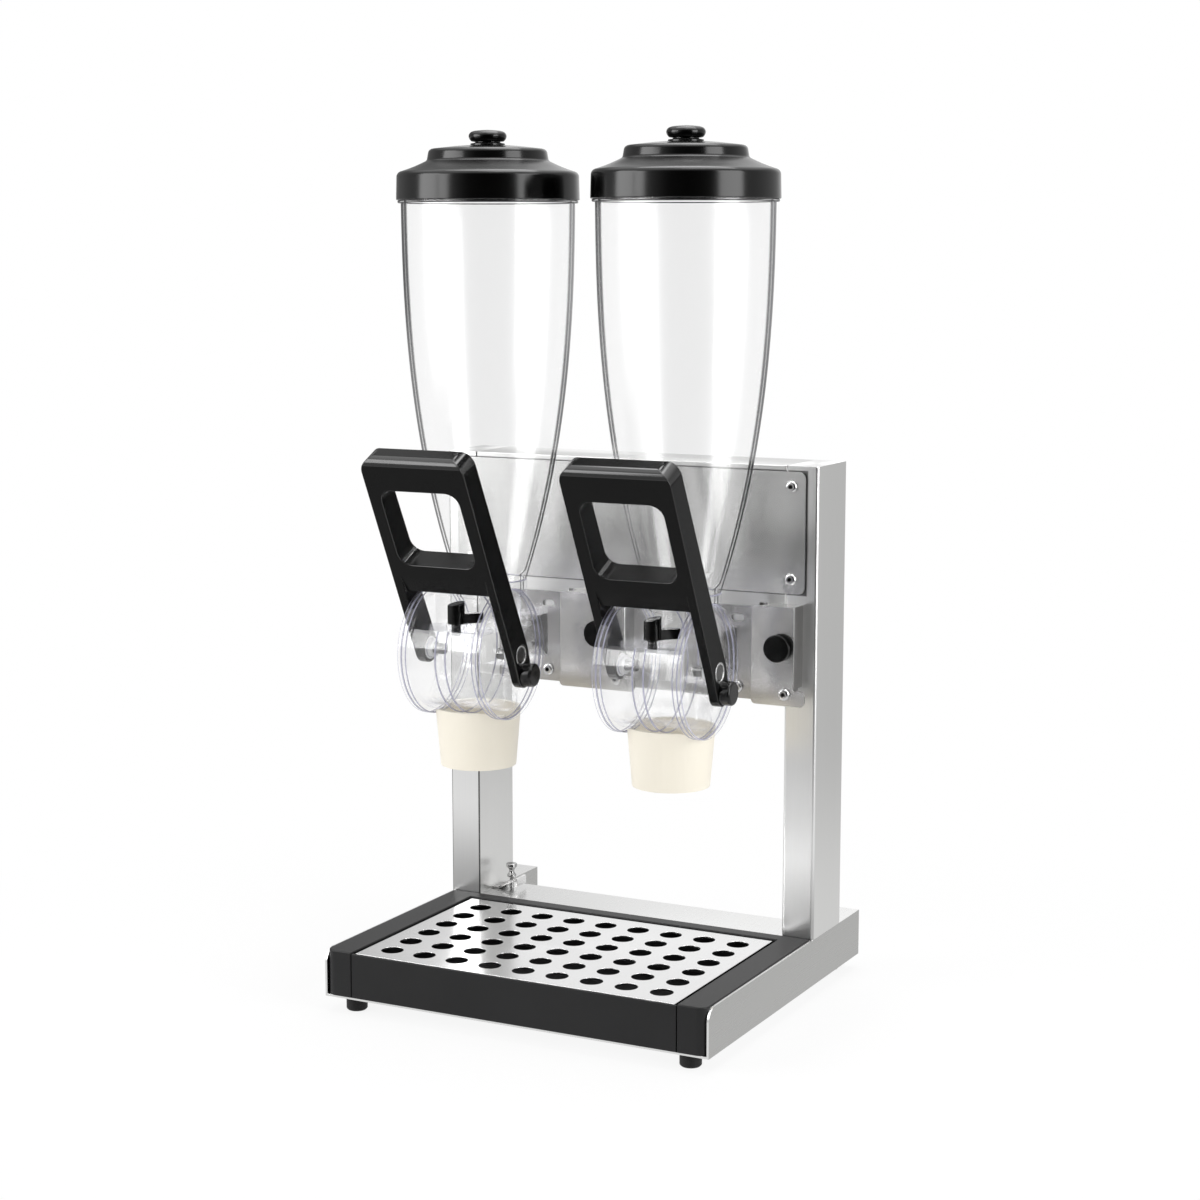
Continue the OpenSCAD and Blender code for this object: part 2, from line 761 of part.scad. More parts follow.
module housing(side) {
    block_front = hopper_y - drum_y;
    color(clear) at_drum(side) difference() {
        union() {
            difference() {
                union() {
                    along_x() translate([0, 0, -body_half]) cylinder(r = shell_r, h = 2 * body_half);
                    for (x = [-rib_gap / 2, rib_gap / 2])
                        along_x() translate([0, 0, x - rib_w / 2]) cylinder(r = rib_r, h = rib_w);
                }
                block([-body_half + flange_t, -2 * flange_r, shelf_h],
                      [body_half - flange_t, -shelf_back, 2 * flange_r]);
            }
            for (x = [-body_half, body_half - flange_t])
                along_x() translate([0, 0, x]) cylinder(r = flange_r, h = flange_t);
            translate([0, drum_front, inlet_floor - shell_t])
                cylinder(r = collar_r, h = collar_h - inlet_floor + shell_t);
            translate([0, outlet_back, -outlet_h]) cylinder(r = outlet_r, h = outlet_h);
            block([-block_half, block_front, -block_h / 2], [block_half, wing_y - drum_y, block_h / 2]);
            translate([0, -portion_front, shelf_h - eps]) cylinder(r = portion_r + 1.5, h = pad_h + eps);
        }
        housing_bore();
        translate([0, drum_front, inlet_floor]) cylinder(r = inlet_r, h = collar_h);
        translate([0, drum_front, collar_h - neck_h]) cylinder(r = neck_r + seat_gap, h = neck_h + 1);
        translate([0, outlet_back, -outlet_h - 1]) cylinder(r = outlet_r - shell_t, h = outlet_h + 1);
        translate([0, -portion_front, shelf_h - shell_t - 1])
            cylinder(r = stem_r + run_gap, h = shell_t + pad_h + 2);
        for (z = housing_screw_z)
            rod_y(0, wing_y - drum_y - screw_grip, z - drum_z, screw_r + fit_gap, screw_grip + 1);
    }
}

module end_caps(side) {
    color(clear) at_drum(side) for (x = [-cap_x, body_half]) along_x() translate([0, 0, x]) difference() {
        cylinder(r = flange_r, h = flange_t);
        translate([0, 0, -1]) cylinder(r = bush_r, h = flange_t + 2);
    }
}

module bushes(side) {
    color(white) at_drum(side) both_ends() difference() {
        union() {
            translate([0, 0, body_half]) cylinder(r = bush_r - fit_gap, h = flange_t);
            translate([0, 0, cap_x]) cylinder(r = bush_r + 2, h = bush_lip);
        }
        translate([0, 0, body_half - 1]) cylinder(r = pin_r + run_gap, h = flange_t + 2);
    }
}

module gate(side) {
    outer = bore_r - gate_gap;
    color(clear) at_drum(side) along_x() difference() {
        union() {
            rotate(gate_from) rotate_extrude(angle = gate_sweep) {
                translate([outer - gate_t, -gate_half]) square([gate_t, 2 * gate_half]);
                for (x = [-gate_half, gate_half - gate_t])
                    translate([hub_r - 2, x]) square([outer - hub_r, gate_t]);
            }
            for (x = [-hub_end, gate_half - gate_t])
                translate([0, 0, x]) cylinder(r = hub_r, h = hub_end - gate_half + gate_t);
        }
        translate([0, 0, -cap_x]) cylinder(r = pin_r + fit_gap, h = 2 * cap_x);
    }
}

module pivot_pins(side) {
    color(bright) at_drum(side) both_ends() {
        translate([0, 0, gate_half - gate_t]) cylinder(r = pin_r, h = lever_x - gate_half + gate_t - eps);
        translate([0, 0, lever_x - pin_head_t]) cylinder(r = pin_head_r, h = pin_head_t);
    }
}

// Side view of the lever, drawn in y and z
module lever_side() {
    circle(arm_half);
    difference() {
        polygon([
            [-arm_half, 0], [arm_half, 0], [grip_back, lever_h - heel_r], [grip_back, lever_h], [-arm_half, lever_h]
        ]);
        translate([-arm_half - 1, lever_h - nose_r]) square([nose_r + 1, nose_r + 1]);
        translate([grip_back - heel_r, lever_h - heel_r]) square([heel_r + 1, heel_r + 1]);
    }
    translate([nose_r - arm_half, lever_h - nose_r]) circle(nose_r);
    translate([grip_back - heel_r, lever_h - heel_r]) circle(heel_r);
}

// Front view of the lever, drawn in x and z
module lever_front() {
    difference() {
        union() {
            translate([-lever_x, -arm_half]) square([2 * lever_x, lever_h]);
            translate([-lever_x, lever_h / 2]) rounded(2 * lever_x, lever_h / 2, lever_r);
        }
        translate([-lever_x - 1, lever_h - lever_r]) square([lever_r + 1, lever_r + 1]);
        translate([lever_x - lever_r, lever_h - lever_r]) square([lever_r + 1, lever_r + 1]);
        translate([-window_half, window_from]) rounded(2 * window_half, window_h, window_r);
        translate([-arm_x, -arm_half - 1]) square([2 * arm_x, plate_from + arm_half + 1]);
    }
    for (x = [-lever_x + lever_r, lever_x - lever_r]) translate([x, lever_h - lever_r]) circle(lever_r);
}

module lever(side) {
    color(black) at_lever(side) difference() {
        union() {
            intersection() {
                along_x() translate([0, 0, -lever_x]) linear_extrude(2 * lever_x) lever_side();
                upright(-2 * arm_half, 4 * arm_half) lever_front();
            }
            along_x() translate([0, 0, arm_x]) linear_extrude(arm_t) peg_arm();
        }
        along_x() translate([0, 0, -lever_x - 1]) cylinder(r = pin_r + fit_gap, h = 2 * lever_x + 2);
        for (x = [-lever_x - 1, lever_x - pin_head_t])
            along_x() translate([0, 0, x]) cylinder(r = pin_head_r + fit_gap, h = pin_head_t + 1);
        translate([lever_x - arm_t / 2, -peg_front, -peg_drop]) along_x()
            cylinder(r = peg_pin_r + fit_gap, h = arm_t);
        along_x() translate([0, 0, -arm_x]) linear_extrude(2 * arm_x) polygon([
            [-arm_half - 1, plate_from - 1], [-arm_half + slope_d, plate_from - 1],
            [-arm_half + slope_d, plate_from], [-arm_half, plate_from + slope_h],
            [-arm_half - 1, plate_from + slope_h]
        ]);
    }
}

// Lower end of the right arm, which carries the peg
module peg_arm() {
    reach = peg_r + 1.5;
    translate([-peg_front, -peg_drop]) circle(reach);
    polygon([
        [-arm_half, 0], [-peg_front - reach, -peg_drop], [-peg_front + reach, -peg_drop], [arm_half, 0]
    ]);
}

module lever_peg(side) {
    color(black) at_lever(side) translate([lever_x, -peg_front, -peg_drop]) along_x() {
        rotate_extrude() polygon(concat(
            [[0, -arm_t / 2], [peg_pin_r, -arm_t / 2], [peg_pin_r, 0], [peg_r, 0]],
            arc(peg_r - 2.5, peg_h - 2.5, 2.5, 0, 90), [[0, peg_h]]
        ));
    }
}

module portion_knob(side) {
    foot = shelf_z + pad_h + seat_gap;
    tip = portion_reach - portion_tip_r;
    color(black) translate([side * unit_x, portion_y, 0]) rotate(portion_turn) {
        difference() {
            translate([0, 0, foot]) cylinder(r = portion_r, h = portion_h);
            translate([portion_r, 0, foot + portion_h]) rotate([0, -portion_slant, 0])
                translate([-4 * portion_r, -2 * portion_r, 0]) cube(4 * portion_r);
        }
        translate([0, 0, foot]) linear_extrude(portion_arm_h) {
            polygon([
                [0, -portion_tip_r - 1], [tip, -portion_tip_r], [tip, portion_tip_r], [0, portion_tip_r + 1]
            ]);
            translate([tip, 0]) circle(portion_tip_r);
        }
        translate([0, 0, cam_z]) cylinder(r = stem_r, h = foot - cam_z + eps);
    }
}

module portion_cam(side) {
    color(white) translate([side * unit_x, portion_y, cam_z]) difference() {
        union() {
            cylinder(r = stem_r + 2.5, h = cam_t);
            block([0, -stem_r, 0], [stem_r + 11, stem_r, cam_t]);
        }
        translate([0, 0, -1]) cylinder(r = stem_r + fit_gap, h = cam_t + 2);
    }
}

module spout(side) {
    top = spout_z + spout_h;
    socket_r = outlet_r + fit_gap;
    scoop_x = body_half - flange_t - seat_gap;
    color(ivory) difference() {
        translate([side * unit_x, outlet_y, 0]) rotate_extrude() polygon([
            [mouth_r - spout_t, spout_z], [mouth_r, spout_z], [spout_r, top], [socket_r, top],
            [socket_r, top - socket_h], [outlet_r - shell_t, top - socket_h - 1]
        ]);
        at_drum(side) along_x() translate([0, 0, -cap_x]) cylinder(r = rib_r + seat_gap, h = 2 * cap_x);
        at_drum(side) both_ends() translate([0, 0, scoop_x])
            cylinder(r = flange_r + seat_gap, h = 3 * flange_t);
    }
}

module bracket(side) {
    from = bracket_from;
    to = bracket_from + face_w(side);
    wall_low = bracket_low + bracket_tab;
    wing_h = bracket_top - bracket_low - 4;
    slot_z = bracket_low + wing_h - 11;
    color(steel) difference() {
        translate([side * unit_x, 0, 0]) difference() {
            union() {
                block([from, face_y, wall_low - 4], [to, face_y + sheet_t, bracket_top]);
                upright(face_y, sheet_t) translate([from, bracket_low])
                    rounded(to - from + tab_past, bracket_tab - 1, 4);
                block([from, face_y, wall_low], [from + sheet_t, post_front, bracket_top]);
                block([to - sheet_t, face_y, wall_low], [to, post_front, bracket_top]);
                block([from, face_y, bracket_top - sheet_t], [to, post_front, bracket_top]);
                upright(wing_y, sheet_t) translate([-bracket_wing, bracket_low])
                    rounded(from + bracket_wing + sheet_t, wing_h, 3);
            }
            rod_y(wing_screw_x, wing_y - 1, bracket_screw_z, screw_r + fit_gap, sheet_t + 2);
            for (z = housing_screw_z) rod_y(0, wing_y - 1, z, screw_r + fit_gap, sheet_t + 2);
            upright(wing_y - 1, sheet_t + 2) translate([wing_screw_x - slot_l / 2, slot_z - 3])
                rounded(slot_l, 6, 2.99);
            translate([from + 4, face_y + sheet_t + relief_r, bracket_top - 5])
                cylinder(r = relief_r, h = 6);
        }
        rod_y(button_x(side), face_y - 1, button_z, button_stem_r + run_gap, sheet_t + 2);
        rod_y(tab_screw_x(side), face_y - 1, bracket_screw_z, screw_r + fit_gap, sheet_t + 2);
    }
}

module bracket_screws() {
    color(bright) for (side = [left, right]) {
        screw_in(tab_screw_x(side), face_y, bracket_screw_z, bracket_d + sheet_t + screw_grip);
        screw_in(side * unit_x + wing_screw_x, wing_y, bracket_screw_z, 2 * sheet_t + screw_grip);
    }
}

module bracket_spacers() {
    color(steel) for (side = [left, right]) difference() {
        rod_y(tab_screw_x(side), face_y + sheet_t, bracket_screw_z, screw_r + 2, bracket_d - sheet_t);
        rod_y(tab_screw_x(side), face_y, bracket_screw_z, screw_r + fit_gap, bracket_d + 1);
    }
}

module housing_screws() {
    color(bright) for (side = [left, right], z = housing_screw_z)
        translate([side * unit_x, post_front + sheet_t, z]) rotate([-90, 0, 0])
            button_screw(2 * sheet_t + screw_grip - 0.5);
}

module release_button(side) {
    back = button_travel + seat_gap;
    front = button_travel + button_h;
    stem = face_y - stem_end;
    color(black) translate([button_x(side), face_y, button_z]) rotate([90, 0, 0]) rotate_extrude()
        polygon(concat(
            [[0, stem], [button_stem_r, stem], [button_stem_r, back], [button_r, back]],
            arc(button_r - 1.5, front - 1.5, 1.5, 0, 80, 5), [[0, front + 0.6]]
        ));
}

module button_clip(side) {
    color(bright) translate([button_x(side), 0, button_z]) difference() {
        rod_y(0, clip_y, 0, button_stem_r + clip_w, clip_t);
        rod_y(0, clip_y - 1, 0, button_stem_r + fit_gap, clip_t + 2);
    }
}

// Centre line of the spring, as a share of its length
rings = spring_turns * 8;
spring_l = spring_to - spring_from - wire_d;
function coil_angle(i) = 360 * i / 8;
function coil_y(i) = spring_from + wire_d / 2 + spring_l * i / rings;

// Points round the wire at one ring
function wire_ring(i) = [for (k = [0 : 5])
    let (r = coil_r + wire_d / 2 * cos(60 * k))
    [r * cos(coil_angle(i)), coil_y(i) + wire_d / 2 * sin(60 * k), r * sin(coil_angle(i))]];

// Least gap of the wire to itself, from one turn to the next
spring_gap = spring_l / spring_turns - wire_d;
echo(least_spring_gap = spring_gap);

module button_spring(side) {
    points = [for (i = [0 : rings]) each wire_ring(i)];
    sides = [for (i = [0 : rings - 1], k = [0 : 5])
        let (a = 6 * i + k, b = 6 * i + (k + 1) % 6) each [[a, b, a + 6], [b, b + 6, a + 6]]];
    ends = [for (k = [1 : 4]) each [[0, k + 1, k], [6 * rings, 6 * rings + k, 6 * rings + k + 1]]];
    color(bright) translate([button_x(side), 0, button_z]) polyhedron(points, concat(sides, ends));
}

base_shell();
post_left();
post_right();
rear_panel();
cover_plate();
cover_screws();
tray_surround();
drip_tray();
drip_grate();
feet();
foot_screws();
hold_down_tab();
thumbscrew();
bracket_screws();
bracket_spacers();
housing_screws();
lid(left);  // lid_left
lid(right);  // lid_right
lid_knob(left);  // lid_knob_left
lid_knob(right);  // lid_knob_right
hopper(left);  // hopper_left
hopper(right);  // hopper_right
housing(left);  // housing_left
housing(right);  // housing_right
end_caps(left);  // end_caps_left
end_caps(right);  // end_caps_right
bushes(left);  // bushes_left
bushes(right);  // bushes_right
gate(left);  // gate_left
gate(right);  // gate_right
pivot_pins(left);  // pivot_pins_left
pivot_pins(right);  // pivot_pins_right
lever(left);  // lever_left
lever(right);  // lever_right
lever_peg(left);  // lever_peg_left
lever_peg(right);  // lever_peg_right
portion_knob(left);  // portion_knob_left
portion_knob(right);  // portion_knob_right
portion_cam(left);  // portion_cam_left
portion_cam(right);  // portion_cam_right
spout(left);  // spout_left
spout(right);  // spout_right
bracket(left);  // bracket_left
bracket(right);  // bracket_right
release_button(left);  // release_button_left
release_button(right);  // release_button_right
button_clip(left);  // button_clip_left
button_clip(right);  // button_clip_right
button_spring(left);  // button_spring_left
button_spring(right);  // button_spring_right
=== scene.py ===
import math

import bmesh
import bpy
from mathutils import Matrix, Vector


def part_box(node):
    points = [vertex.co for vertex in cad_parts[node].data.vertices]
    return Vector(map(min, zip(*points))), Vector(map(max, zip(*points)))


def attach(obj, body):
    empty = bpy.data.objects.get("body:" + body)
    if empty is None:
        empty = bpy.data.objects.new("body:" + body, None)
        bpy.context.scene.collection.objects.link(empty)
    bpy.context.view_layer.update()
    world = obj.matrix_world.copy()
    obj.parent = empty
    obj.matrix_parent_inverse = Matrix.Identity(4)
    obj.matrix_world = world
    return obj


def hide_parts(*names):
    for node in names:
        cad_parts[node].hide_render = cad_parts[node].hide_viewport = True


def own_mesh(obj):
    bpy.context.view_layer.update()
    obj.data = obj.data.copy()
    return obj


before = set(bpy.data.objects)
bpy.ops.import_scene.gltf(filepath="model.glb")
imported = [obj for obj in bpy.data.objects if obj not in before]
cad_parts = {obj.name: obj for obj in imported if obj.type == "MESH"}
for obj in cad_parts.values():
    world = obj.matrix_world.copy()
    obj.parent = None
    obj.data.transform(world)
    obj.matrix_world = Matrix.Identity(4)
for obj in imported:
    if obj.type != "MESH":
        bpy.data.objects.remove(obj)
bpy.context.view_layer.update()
scene = bpy.context.scene
scene.view_settings.view_transform = "Standard"
print("stage: frame loaded,", len(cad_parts), "solids")


# shader helpers

class Value:  # a socket that can be added, multiplied and so on
    def __init__(self, tree, socket):
        self.tree, self.socket = tree, socket

    def work(self, operation, first, second):
        node = self.tree.nodes.new("ShaderNodeMath")
        node.operation = operation
        for place, item in zip(node.inputs, (first, second)):
            if isinstance(item, Value):
                self.tree.links.new(item.socket, place)
            else:
                place.default_value = item
        return Value(self.tree, node.outputs[0])

    def __add__(self, other):
        return self.work("ADD", self, other)

    def __sub__(self, other):
        return self.work("SUBTRACT", self, other)

    def __rsub__(self, other):
        return self.work("SUBTRACT", other, self)

    def __mul__(self, other):
        return self.work("MULTIPLY", self, other)

    def __truediv__(self, other):
        return self.work("DIVIDE", self, other)

    def most(self, other):
        return self.work("MAXIMUM", self, other)


class Tree:  # one node tree, of a material or of the world
    def __init__(self, tree):
        self.tree = tree
        tree.nodes.clear()

    def node(self, kind, settings, sockets, out=0):
        node = self.tree.nodes.new(kind)
        for key, item in settings.items():
            if key == "stops":
                ramp = node.color_ramp
                while len(ramp.elements) < len(item):
                    ramp.elements.new(0.5)
                for element, (place, shade) in zip(ramp.elements, item):
                    element.position = place
                    element.color = (shade, shade, shade, 1)
            else:
                setattr(node, key, item)
        for key, item in sockets.items():
            place = node.inputs[key]
            if isinstance(item, Value):
                self.tree.links.new(item.socket, place)
            else:
                place.default_value = item
        return Value(self.tree, node.outputs[out]) if len(node.outputs) else node

    def spot(self):
        return self.node("ShaderNodeTexCoord", {}, {}, "Object")

    def noise(self, scale, stretch=(1, 1, 1), detail=3.0, rough=0.5):
        place = self.node("ShaderNodeMapping", {}, {"Vector": self.spot(), "Scale": stretch})
        return self.node("ShaderNodeTexNoise", {},
                         {"Vector": place, "Scale": scale, "Detail": detail, "Roughness": rough})

    def vector(self, operation, first, second=(0, 0, 0), out="Vector"):
        return self.node("ShaderNodeVectorMath", {"operation": operation}, {0: first, 1: second}, out)

    def part(self, place, axis):
        return self.node("ShaderNodeSeparateXYZ", {}, {0: place}, axis)

    def ramp(self, value, low, high, start=0.0, end=1.0, curve="SMOOTHSTEP"):
        return self.node("ShaderNodeMapRange", {"interpolation_type": curve},
                         {"Value": value, "From Min": low, "From Max": high, "To Min": start, "To Max": end})

    def between(self, mask, low, high):  # maps a 0 to 1 value on to a range
        return mask * (high - low) + low

    def tint(self, mask, dark, light):
        return self.node("ShaderNodeMix", {"data_type": "RGBA"},
                         {"Factor": mask, "A": (*dark, 1), "B": (*light, 1)}, 2)

    def bump(self, height, strength, distance):
        return self.node("ShaderNodeBump", {}, {"Height": height, "Strength": strength, "Distance": distance})


def finish(name, make):  # a material whose shader comes from a function of its tree
    material = bpy.data.materials.new(name)
    material.use_nodes = True
    tree = Tree(material.node_tree)
    tree.node("ShaderNodeOutputMaterial", {}, {"Surface": make(tree)})
    return material


def principled(tree, sockets):
    return tree.node("ShaderNodeBsdfPrincipled", {}, sockets)


# finishes

def paintedContactShadow(tree, node, wide):  # 1 along the outline of a plate that lies on this sheet, the mask of a painted contact shadow
    low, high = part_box(node)
    away = tree.vector("ABSOLUTE", tree.vector("SUBTRACT", tree.spot(), (low + high) / 2))
    away = tree.vector("SUBTRACT", away, (high - low) / 2)
    across, deep, up = (tree.part(away, axis) for axis in "XYZ")
    out = across.most(up).most(deep * 2)
    return tree.ramp(out, wide * 0.4, wide, 1.0, 0.0, "LINEAR")


# line and lineShare: width and strength of the painted contact shadow; footLow and footHigh: where the painted foot
# shade fades; shadow: the colour of both
steelForm = {"grain": 4200, "streak": 900, "cloud": 9, "fine": 0.012, "wide": 0.06, "line": 0.0016, "lineShare": 0.8,
             "footLow": 0.058, "footHigh": 0.15, "shadow": (0.03, 0.03, 0.03, 1), "uneven": 0.03, "brush": 0.5}


def brushedSteel(name, along, light, dark, rough, turn=0.0, plate=None, footShade=0.0):
    # plate is a solid round which a shadow line is painted on this sheet, the foot shade how far a painted shade
    # darkens the lower end
    fine, wide = (tuple(steelForm[word] if axis == along else 1.0 for axis in "xyz") for word in ("fine", "wide"))

    def make(tree):
        grain = tree.noise(steelForm["grain"], fine, 3.0, 0.6)
        streak = tree.noise(steelForm["streak"], fine, 3.0, 0.55)
        cloud = tree.noise(steelForm["cloud"], wide, 2.0)
        mixed = tree.between(grain, -0.2, 0.2) + tree.between(streak, -0.15, 0.15) + tree.between(cloud, 0.15, 0.85)
        colour = tree.tint(mixed, dark, light)
        # painted shade: a shadow line round the plate and a darker lower end
        if plate:
            footShadeMask = tree.ramp(tree.part(tree.spot(), "Z"), steelForm["footLow"], steelForm["footHigh"], footShade, 0.0)
            line = paintedContactShadow(tree, plate, steelForm["line"]) * steelForm["lineShare"]
            colour = tree.node("ShaderNodeMix", {"data_type": "RGBA"},
                               {"Factor": line.most(footShadeMask), "A": colour, "B": steelForm["shadow"]}, 2)
        return principled(tree, {
            "Base Color": colour,
            "Metallic": 1.0,
            "Roughness": tree.between(streak, rough - steelForm["uneven"], rough + steelForm["uneven"]),
            "Anisotropic": steelForm["brush"],
            "Anisotropic Rotation": turn,
            "Normal": tree.bump(grain, 0.03, 0.0001),
        })
    return finish(name, make)


def polished(name, light, rough):
    def make(tree):
        haze = tree.noise(260, detail=4.0)
        return principled(tree, {
            "Base Color": tree.tint(haze, tuple(v * 0.9 for v in light), light),
            "Metallic": 1.0,
            "Roughness": tree.between(haze, rough * 0.7, rough * 1.4),
            "Normal": tree.bump(haze, 0.02, 0.0002),
        })
    return finish(name, make)


def moulded(name, dark, light, rough, grainSize, depth, shine=0.5, glow=0.0):
    def make(tree):
        grain = tree.noise(grainSize, detail=3.0, rough=0.6)
        cloud = tree.noise(14, detail=3.0)
        return principled(tree, {
            "Base Color": tree.tint(cloud, dark, light),
            "Roughness": tree.between(cloud, rough - 0.04, rough + 0.05) + tree.between(grain, -0.03, 0.03),
            "Specular IOR Level": shine,
            # emission: painted light where glow is set
            "Emission Color": (*light, 1),
            "Emission Strength": glow,
            "Normal": tree.bump(grain, depth, 0.0003),
        })
    return finish(name, make)


def clearShell(name, clear, rim, edge, start, end, rough, wave, mirror=1.0):
    # thin clear plastic that darkens where it is edge on
    def make(tree):
        flow = tree.noise(14, (1, 1, 0.3), 2.0)
        slant = tree.node("ShaderNodeLayerWeight", {}, {"Blend": 0.5}, "Facing")
        line = tree.ramp(slant, start, end)
        return principled(tree, {
            "Base Color": tree.tint(line, (1, 1, 1), edge),
            "Metallic": mirror,
            "Roughness": tree.between(flow, rough * 0.5, rough * 1.5),
            "Alpha": tree.between(line, clear, rim),
            "Normal": tree.bump(flow, wave, 0.0005),
        })
    return finish(name, make)


def clearLine(name, dark, light, clear):  # rounded edge of thick clear plastic, which gathers a tint
    def make(tree):
        flow = tree.noise(60, detail=2.0)
        return principled(tree, {
            "Base Color": tree.tint(flow, dark, light),
            "Roughness": 0.15,
            "Alpha": tree.between(flow, clear - 0.2, clear + 0.2),
        })
    return finish(name, make)


def pinSteel(name, axis, dish, step, rough):  # bright ring round a dish painted dark, a painted dark reflection
    def make(tree):
        haze = tree.noise(500, detail=4.0)
        away = tree.vector("DISTANCE", tree.vector("MULTIPLY", tree.spot(), (0, 1, 1)), (0, *axis), "Value")
        ring = tree.ramp(away, dish - step, dish, curve="LINEAR")
        return principled(tree, {
            # painted reflection: the dish inside the ring is dark grey
            "Base Color": tree.tint(ring, (0.13, 0.13, 0.13), (0.6, 0.6, 0.6)),
            "Metallic": 1.0,
            "Roughness": tree.between(haze, rough * 0.8, rough * 1.3),
        })
    return finish(name, make)


look = {
    # post and panel have a painted shadow line round the cover plate, post also a painted shade at its foot
    "post": brushedSteel("postSteel", "z", (0.96, 0.96, 0.955), (0.80, 0.80, 0.795), 0.3, 0.0, "cover_plate", 0.5),
    # a darker copy of the post steel for the side faces: painted shade
    "postSide": brushedSteel("postSideShadeSteel", "z", (0.76, 0.76, 0.75), (0.66, 0.66, 0.65), 0.3),
    "panel": brushedSteel("panelSteel", "x", (0.70, 0.70, 0.695), (0.60, 0.60, 0.595), 0.3, 0.25, "cover_plate"),
    "cover": brushedSteel("coverSteel", "x", (0.72, 0.72, 0.715), (0.60, 0.60, 0.595), 0.25, 0.25),
    "base": brushedSteel("baseSteel", "y", (0.82, 0.82, 0.815), (0.74, 0.74, 0.735), 0.28),
    # a darker copy of the base steel for the side faces: painted shade
    "cheek": brushedSteel("cheekShadeSteel", "y", (0.48, 0.48, 0.47), (0.43, 0.43, 0.42), 0.28),
    # a lighter, smoother copy of the steel for the base's cut edges: painted highlight
    "rim": polished("rimHighlightSteel", (0.97, 0.97, 0.97), 0.2),
    "bracket": brushedSteel("bracketSteel", "z", (0.70, 0.695, 0.685), (0.62, 0.615, 0.605), 0.22),
    # a darker copy of the bracket steel for the parts set back against the panel and the hold-down tab's front:
    # painted shade
    "wing": brushedSteel("wingShadeSteel", "z", (0.60, 0.595, 0.59), (0.48, 0.475, 0.47), 0.24),
    # dark steel for cut edges, the cover plate's sides and the left post's bends: partly the darker cut edge, partly a
    # painted shadow line
    "cutEdge": brushedSteel("cutEdgeShadeSteel", "z", (0.16, 0.16, 0.16), (0.10, 0.10, 0.10), 0.35),
    "grate": brushedSteel("grateSteel", "x", (0.90, 0.90, 0.90), (0.82, 0.82, 0.82), 0.2),
    "bright": polished("polishedSteel", (0.66, 0.66, 0.66), 0.14),
    "stud": polished("studSteel", (0.42, 0.42, 0.42), 0.16),
    # a near-black copy of the screw steel for the sockets: painted shade in the recess
    "socket": polished("socketShadeSteel", (0.03, 0.03, 0.03), 0.3),
    "pin": pinSteel("pinSteel", (-0.061, 0.311), 0.0073, 0.0004, 0.2),
    "spring": polished("springWire", (0.55, 0.55, 0.55), 0.25),
    "gloss": moulded("satinBlack", (0.0003, 0.0003, 0.0003), (0.0007, 0.0007, 0.0007), 0.18, 900, 0.012, 0.42),
    "lever": moulded("leverBlack", (0.003, 0.003, 0.003), (0.005, 0.005, 0.005), 0.28, 1500, 0.04, 0.1),
    "leverEdge": moulded("leverEdgeBlack", (0.002, 0.002, 0.002), (0.004, 0.004, 0.004), 0.14, 1500, 0.02, 0.7),
    "knob": moulded("knobBlack", (0.002, 0.002, 0.002), (0.004, 0.004, 0.004), 0.2, 1500, 0.03, 0.22),
    "matt": moulded("trayBlack", (0.009, 0.009, 0.0095), (0.015, 0.015, 0.0155), 0.4, 2200, 0.15, 0.24),
    "clear": clearShell("clearHopper", 0.048, 0.9, (0.06, 0.06, 0.07), 0.69, 0.81, 0.22, 0.02),
    "hopperRim": clearLine("clearHopperRim", (0.02, 0.02, 0.02), (0.06, 0.06, 0.065), 0.75),
    "clearThick": clearShell("clearHousing", 0.06, 0.4, (0.72, 0.72, 0.8), 0.5, 0.95, 0.1, 0.03, 0.9),
    "clearEdge": clearLine("clearHousingEdge", (0.24, 0.24, 0.36), (0.62, 0.62, 0.74), 0.6),
    # the spout glows a little: painted light standing in for light reaching its inside
    "ivory": moulded("ivorySpout", (0.70, 0.655, 0.555), (0.735, 0.695, 0.605), 0.38, 1200, 0.05, 0.5, 0.12),
    "white": moulded("whiteBush", (0.72, 0.73, 0.74), (0.80, 0.81, 0.82), 0.35, 900, 0.05),
    "rubber": moulded("blackRubber", (0.003, 0.003, 0.003), (0.007, 0.007, 0.007), 0.55, 1800, 0.25, 0.3),
}
scene.cycles.transparent_max_bounces = 48
print("stage: finishes made,", len(look))


# mesh helpers, with sizes in millimetres

mm = 0.001
sides = ("left", "right")
creaseAngle = 38


def middle(node):  # centre of a solid's box
    low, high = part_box(node)
    return (low + high) / 2


def underside(node):  # centre of the bottom of a solid's box
    place = middle(node)
    place.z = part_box(node)[0].z
    return place


def lathe(place, up, profile, steps=96):  # profile points are (radius, height) or (radius, height, rounding)
    up = Vector(up)
    across = up.orthogonal().normalized()
    shape = bmesh.new()
    dots = [shape.verts.new(place + (across * dot[0] + up * dot[1]) * mm) for dot in profile]
    ends = zip(dots, dots[1:]) if profile[0][0] == 0 else zip(dots, dots[1:] + dots[:1])
    for pair in ends:
        shape.edges.new(pair)
    for dot, corner in zip(dots, profile):
        if len(corner) == 3:
            bmesh.ops.bevel(shape, geom=[dot], offset=corner[2] * mm, offset_type="OFFSET", segments=5, profile=0.5,
                            affect="VERTICES", material=-1, clamp_overlap=True)
    bmesh.ops.spin(shape, geom=shape.verts[:] + shape.edges[:], cent=place, axis=up, angle=2 * math.pi,
                   steps=steps, use_merge=True)
    bmesh.ops.remove_doubles(shape, verts=shape.verts, dist=1e-6)
    bmesh.ops.recalc_face_normals(shape, faces=shape.faces)
    return shape


